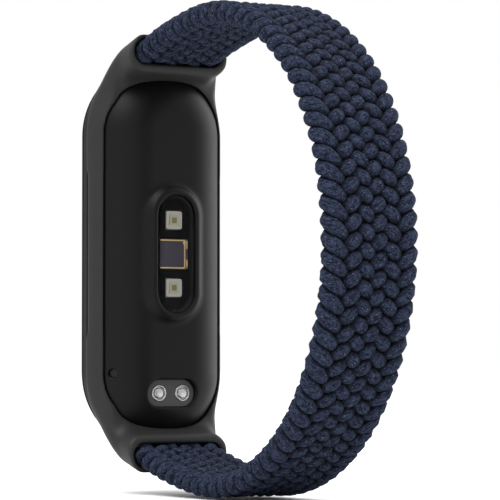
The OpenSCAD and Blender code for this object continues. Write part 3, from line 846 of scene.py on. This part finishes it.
# %% [markdown]
# ## Lights, detector and contacts
#
# The two lights are small white frames with a stepped well round a yellow die, and the
# detector is a dark chip with a gold line on three sides. At this size each light, and the
# detector's small white marker, is a stack of rounded squares, one over the other, so one
# function lofts them all. The charging contacts are turned on a lathe, and a revolved
# profile is the same operation.

# %% A stack of rounded outlines
CORNER_STEPS = 6


def rounded_outline(half_x, half_z, corner):
    points = []
    for turn, (sx, sz) in enumerate(((1, 1), (-1, 1), (-1, -1), (1, -1))):
        for step in range(CORNER_STEPS + 1):
            angle = math.pi / 2 * (turn + step / CORNER_STEPS)
            points.append((sx * (half_x - corner) + corner * math.cos(angle),
                           sz * (half_z - corner) + corner * math.sin(angle)))
    return points


def stack(name, centre, levels):
    """A solid from levels of (half_x, half_z, corner, depth), closed at both ends."""
    rings = []
    for half_x, half_z, corner, depth in levels:
        outline = rounded_outline(half_x, half_z, corner)
        rings.append([(centre[0] + x, depth, centre[1] + z) for x, z in outline])
    count = len(rings[0])
    faces = [list(range(count)), [(len(rings) - 1) * count + i for i in range(count)]]
    for level in range(len(rings) - 1):
        for i in range(count):
            a, b = level * count + i, level * count + (i + 1) % count
            faces.append([a, b, b + count, a + count])
    mesh = bpy.data.meshes.new(name)
    mesh.from_pydata(to_part([p for ring in rings for p in ring]).tolist(), [], faces)
    made = bpy.data.objects.new(name, mesh)
    scene.collection.objects.link(made)
    weld(made, 0.0005 * MM)
    return made


# %% Two lights
LED_CORNER = 0.28
LED_STEPS = ((1.1, 0.7), (1.1, 0.05), (1.03, 0.0), (0.86, 0.0), (0.82, 0.08), (0.68, 0.08),
             (0.64, 0.16), (0.5, 0.16), (0.47, 0.24), (0.47, 0.3))
led_top = FLOOR - 1.05


def light(name, node):
    """A square frame with a stepped well: each step is (half its size, depth below the top)."""
    low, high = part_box(node)
    centre = ((low.x + high.x) / 2 / MM, (low.z + high.z) / 2 / MM - middle)
    made = stack(name, centre, [(half, half, LED_CORNER, led_top + drop) for half, drop in LED_STEPS])
    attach(made, "tracker")
    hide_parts(node)
    return made, centre


upper_light, upper_centre = light("light_upper", "led_upper")
lower_light, lower_centre = light("light_lower", "led_lower")
print("lights at heights", round(upper_centre[1], 2), "and", round(lower_centre[1], 2), "mm")

# %% The charging contacts
LATHE_STEPS = 48


def lathe(name, centre, profile):
    """Turns a profile of (radius, depth) about an axis that runs front to back."""
    points, faces = [], []
    for radius, depth in profile:
        for i in range(LATHE_STEPS):
            angle = 2 * math.pi * i / LATHE_STEPS
            points.append((centre[0] + radius * math.cos(angle), depth,
                           centre[1] + radius * math.sin(angle)))
    for level in range(len(profile) - 1):
        for i in range(LATHE_STEPS):
            a, b = level * LATHE_STEPS + i, level * LATHE_STEPS + (i + 1) % LATHE_STEPS
            faces.append([a, b, b + LATHE_STEPS, a + LATHE_STEPS])
    made = make_object(name, to_part(points), faces)
    weld(made)
    return made


contact_top = -(contacts_high.y / MM - back_plane)
contact_base = -(contacts_low.y / MM - back_plane)
contact_profile = [
    (0.0, contact_top + 0.01), (0.5, contact_top), (0.57, contact_top + 0.03), (0.6, contact_top + 0.1),
    (0.6, contact_top + 0.35), (0.8, contact_top + 0.35), (0.8, contact_top + 0.06),
    (0.83, contact_top + 0.01), (0.88, contact_top), (0.95, contact_top + 0.02),
    (1.0, contact_top + 0.08), (1.0, contact_base), (0.0, contact_base)]
contact_pieces = []
contact_radius = max(radius for radius, _ in contact_profile)
for side, label in ((1, "right"), (-1, "left")):
    contact_x = side * (contacts_high.x / MM - contact_radius)
    contact = lathe(f"contact_{label}", (contact_x, contact_z), contact_profile)
    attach(contact, "tracker")
    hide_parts("charging_contacts")
    contact_pieces.append(contact)
print("contacts at x = +-", round(abs(contact_x), 2), "mm, height", round(contact_z, 2))

# %% The detector's white marker
MARKER_PLACE = (-1.42, 1.38)
MARKER_STEPS = ((0.17, 0.0), (0.17, 0.07), (0.14, 0.08))
_, detector_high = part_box("light_detector")
chip_top = -(detector_high.y / MM - back_plane)
marker = stack("detector_marker", MARKER_PLACE,
               [(half, half, 0.03, chip_top - rise) for half, rise in MARKER_STEPS])
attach(marker, "tracker")
print(f"the detector's face is {-chip_top:.2f} mm behind the back plane")

# %% [markdown]
# ## Finishes
#
# The soft rubber, the satin shell, the yarn and the glass are the four finishes that
# decide how the object looks. Each is built from what the real surface does: rubber has
# a fine matt grain, the shell is spark-eroded satin, the yarn is a knitted cord with
# lighter fibres that catch light, and the glass is polished black. The yarn also has
# painted shade: its colour goes nearly black where it sinks into the gaps of the plait.

# %% Rubber, shell and small plastics
def moulded_finish(name, color, roughness, grain, depth, variation=0.1, **constants):
    """Moulded plastic or rubber: a grain in the tool, and a slight unevenness of shine."""
    finish = Finish(name, color, roughness, **constants)
    place = finish.place()
    cloud = finish.noise(place, 400.0, 3.0)
    speck = finish.noise(place, grain, 2.0, 0.7)
    dark = tuple(c * (1 - variation) for c in color)
    pale = tuple(c * (1 + variation) for c in color)
    finish.set("Base Color", finish.mix(cloud * 0.6 + speck * 0.4, dark, pale))
    finish.set("Roughness", cloud * 0.08 + (roughness - 0.04) + (speck - 0.5) * 0.1)
    finish.bump(speck, 0.35, depth)
    return finish


rubber = moulded_finish("holder rubber", gray(34), 0.5, 5200.0, 0.00002, Specular_IOR_Level=0.2)
shell = moulded_finish("satin shell", gray(9), 0.45, 6500.0, 0.000014, Specular_IOR_Level=0.14)
plate_finish = moulded_finish("contact plate", gray(42), 0.5, 5200.0, 0.00001)
baffle_finish = moulded_finish("black baffle", gray(3), 0.6, 5200.0, 0.00001, Specular_IOR_Level=0.05)
dress(holder, rubber)
dress(housing, shell)
dress(nodes["contact_plate"], plate_finish)
dress(nodes["light_baffle"], baffle_finish)
print("moulded finishes:", ", ".join(f.material.name for f in (rubber, shell, plate_finish, baffle_finish)))


# %% Yarn
def yarn_finish():
    """Knitted cord: small loops and fibres, light flecks, and painted shade that turns the colour nearly
    black in the gaps between yarns.
    """
    finish = Finish("navy yarn", tint(40, 47, 68), 0.9, Specular_IOR_Level=0.08)
    mark = finish.uv()
    loops = finish.noise(finish.stretched(mark, 2.6, 1.9, 1.0), 1.0, 2.0, 0.6)
    fibre = finish.noise(finish.stretched(mark, 5.5, 3.6, 1.0), 1.0, 2.0, 0.6)
    fleck = finish.noise(finish.stretched(mark, 6.0, 4.0, 1.0), 1.3, 1.0, 0.5).between(0.6, 0.72)
    gap_shade_mask = finish.node("ShaderNodeAttribute", {"attribute_name": "gap_shade_mask"}, output=2)
    body = finish.mix((loops * 0.5 + fibre * 0.5).between(0.38, 0.64), tint(16, 20, 31), tint(45, 53, 74))
    body = finish.mix(fleck * 0.6, body, tint(100, 109, 130))
    # Painted shade: the colour falls to nearly black where the yarn sinks into the plait's gaps.
    finish.set("Base Color", finish.mix(gap_shade_mask.between(0.1, 0.85), tint(5, 6, 9), body))
    finish.bump(loops * 0.6 + fibre * 0.6 + fleck * 0.2, 1.0, 0.00022)
    return finish


dress(braid, yarn_finish())
print("yarn finish:", len(braid.data.materials[0].node_tree.nodes), "nodes")


# %% Glass
def black_glass():
    """Polished black glass with a faint smear."""
    finish = Finish("black glass", gray(5), 0.05, Specular_IOR_Level=0.12)
    smear = finish.noise(finish.place(), 160.0, 3.0)
    finish.set("Roughness", smear * 0.05 + 0.03)
    return finish


def window_glass():
    """Smoked glass, so thin that only its stain and a soft gloss are seen."""
    finish = Finish("sensor window glass", gray(9), 0.1, Specular_IOR_Level=0.3)
    finish.set("Alpha", finish.noise(finish.place(), 220.0) * 0.06 + 0.14)
    return finish


dress(glass, black_glass())
dress(window, window_glass())
print("glass finishes:", glass.data.materials[0].name, "and", window.data.materials[0].name)


# %% Metals
def metal(name, color, roughness, scratch=900.0):
    """Metal with fine scratches along one way."""
    finish = Finish(name, color, roughness, Metallic=1.0)
    place = finish.place()
    lines = finish.noise(finish.stretched(place, scratch, scratch, scratch * 8), 1.0, 2.0)
    finish.set("Roughness", lines * 0.2 + (roughness - 0.1))
    finish.bump(lines, 0.15, 0.000005)
    return finish


dark_steel = metal("dark mesh", (0.03, 0.03, 0.03), 0.6)
steel = metal("brushed steel", (0.58, 0.58, 0.59), 0.32)
bright = metal("plated contact", (0.42, 0.42, 0.42), 0.28)
gold = metal("gold", (0.83, 0.60, 0.28), 0.3)
alloy = metal("cast alloy", (0.42, 0.43, 0.45), 0.45)
heavy = metal("sintered weight", (0.36, 0.34, 0.31), 0.55)
for contact in contact_pieces:
    dress(contact, bright)
print(len(contact_pieces), "contacts plated")


# %% Lights and detector
DIE_INSET = 0.75


def in_box(finish, place, node, margin):
    """1 inside the outline of a CAD node seen from behind, grown by a margin, 0 outside."""
    low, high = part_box(node)
    middle_point = (low + high) / 2
    moved = finish.node("ShaderNodeVectorMath", {"operation": "SUBTRACT"}, (place, tuple(middle_point)))
    split = finish.tree.nodes.new("ShaderNodeSeparateXYZ")
    finish.tree.links.new(moved.socket, split.inputs[0])
    inside = None
    for axis, half in ((0, (high.x - low.x) / 2), (2, (high.z - low.z) / 2)):
        far = Wire(finish, split.outputs[axis]).math("ABSOLUTE")
        near = far.math("LESS_THAN", half + margin)
        inside = near if inside is None else inside * near
    return inside


led_white = moulded_finish("light frame", tint(196, 194, 188), 0.4, 4000.0, 0.000005, 0.03)
phosphor = moulded_finish("phosphor", tint(190, 186, 150), 0.3, 7000.0, 0.000005, 0.12)
place = phosphor.place()
upper_die = in_box(phosphor, place, "led_upper", -DIE_INSET * MM)
lower_die = in_box(phosphor, place, "led_lower", -DIE_INSET * MM)
dies = upper_die + lower_die
phosphor.set("Base Color", phosphor.mix(dies, tint(190, 186, 150), tint(120, 118, 84)))
silicon = moulded_finish("detector chip", tint(52, 46, 62), 0.18, 3000.0, 0.000001, 0.06)
for piece in (upper_light, lower_light, marker):
    dress(piece, led_white)
dress(nodes["led_phosphors"], phosphor)
dress(nodes["light_detector"], silicon)
print("lights, dies and detector dressed")

# %% [markdown]
# ## The parts inside
#
# These are seen only when the tracker is opened or drawn as an exploded view, but each
# still gets a finish of its own, so that the model can be taken apart.

# %% Finishes for the parts inside
board_green = moulded_finish("solder mask", tint(22, 84, 54), 0.35, 2600.0, 0.00001)
amber_film = moulded_finish("amber film", tint(190, 112, 40), 0.3, 3000.0, 0.000004)
resin = moulded_finish("chip resin", gray(34), 0.5, 5200.0, 0.00001)
pouch = metal("foil pouch", (0.66, 0.67, 0.69), 0.38, 300.0)
panel = moulded_finish("display panel", gray(14), 0.12, 2000.0, 0.000001)
film = moulded_finish("touch film", gray(60), 0.1, 2000.0, 0.000001)
core_finish = moulded_finish("core rubber", gray(30), 0.7, 3000.0, 0.00002)
ferrite = moulded_finish("ferrite", gray(52), 0.6, 3500.0, 0.00001)
INSIDE = {
    core_finish: ["elastic_core", "glass_seal"],
    steel: ["shield_can", "microphone", "motor_case", "motor_base", "motor_shaft",
            "charging_magnets"],
    dark_steel: ["port_mesh", "upper_end_clamp", "lower_end_clamp"],
    gold: ["antenna", "contact_springs", "detector_pads"],
    alloy: ["inner_frame"],
    heavy: ["motor_weight"],
    board_green: ["main_board", "sensor_board"],
    amber_film: ["display_flex", "battery_tab"],
    resin: ["board_chips"],
    pouch: ["battery_cell"],
    panel: ["display_module"],
    film: ["touch_layer"],
    ferrite: ["motor_magnet"],
}
for finish, names in INSIDE.items():
    for name in names:
        dress(nodes[name], finish)
print(sum(len(names) for names in INSIDE.values()), "inner parts dressed")

# %% [markdown]
# ## Floor, light and camera
#
# A plain white sweep and large soft lights show form without hard shadows, which is how
# small black products are shown in a studio. The camera is far away with a long lens, because
# a near camera would swell the part of the loop that is closest.

# %% The floor
FLOOR_GAP = 0.0002


def make_floor(size):
    """A square plane just under the part, from its middle to a size on each side."""
    mesh = bpy.data.meshes.new("floor")
    corners = [(-size, -size, 0), (size, -size, 0), (size, size, 0), (-size, size, 0)]
    mesh.from_pydata(corners, [], [(0, 1, 2, 3)])
    plane = bpy.data.objects.new("floor", mesh)
    scene.collection.objects.link(plane)
    plane.location.z = cad_low.z - FLOOR_GAP
    return plane


floor = make_floor(6.0)
floor_finish = Finish("floor", (0.9, 0.9, 0.9), 0.9)
grain = floor_finish.noise(floor_finish.place(), 300.0)
floor_finish.set("Base Color", floor_finish.mix(grain, (0.89, 0.89, 0.89), (0.92, 0.92, 0.92)))
dress(floor, floor_finish)
print("floor at", round(floor.location.z / MM, 2), "mm")

# %% The camera
AZIMUTH = 148.6
ELEVATION = -2.2
DISTANCE = 0.3515
LENS = 217.6
TARGET_BEHIND = 3.85
target = Vector((0.0, (loop_centre_y + TARGET_BEHIND) * MM, middle * MM))
turn, lift = math.radians(AZIMUTH), math.radians(ELEVATION)
away = Vector((math.sin(turn) * math.cos(lift), -math.cos(turn) * math.cos(lift), math.sin(lift)))
camera = bpy.data.objects.new("camera", bpy.data.cameras.new("camera"))
scene.collection.objects.link(camera)
camera.location = target + away * DISTANCE
camera.rotation_mode = "QUATERNION"
camera.rotation_quaternion = (-away).to_track_quat("-Z", "Y")
camera.data.lens = LENS
camera.data.sensor_width = 36.0
camera.data.clip_start = 0.01
camera.data.clip_end = 20.0
camera.data.shift_y = -0.0014
scene.camera = camera
print("camera at", [round(v, 3) for v in camera.location], "m")


# %% The lights
def softbox(name, direction, distance, size, power):
    """A square light that faces the object from a direction."""
    lamp = bpy.data.lights.new(name, "AREA")
    lamp.size = size
    lamp.energy = power
    made = bpy.data.objects.new(name, lamp)
    scene.collection.objects.link(made)
    toward = Vector(direction).normalized()
    made.location = target + toward * distance
    made.rotation_mode = "QUATERNION"
    made.rotation_quaternion = toward.to_track_quat("Z", "Y")
    return made


camera_right = Vector((-away.y, away.x, 0.0))
softbox("key", away * 0.55 + camera_right * -0.35 + Vector((0, 0, 1.0)), 0.7, 0.5, 4.0)
softbox("side", camera_right * 0.85 + away * -0.5 + Vector((0, 0, 0.15)), 0.7, 0.6, 2.6)
overhead = bpy.data.lights.new("overhead", "SUN")
overhead.energy = 0.9
overhead.angle = math.radians(60)
scene.collection.objects.link(bpy.data.objects.new("overhead", overhead))
world = bpy.data.worlds.new("studio")
world.use_nodes = True
world.node_tree.nodes["Background"].inputs["Color"].default_value = (1, 1, 1, 1)
world.node_tree.nodes["Background"].inputs["Strength"].default_value = 1.0
scene.world = world
scene.view_settings.view_transform = "Standard"
print("lights:", ", ".join(light_data.name for light_data in bpy.data.lights))

# %% Hand over
bpy.context.view_layer.update()
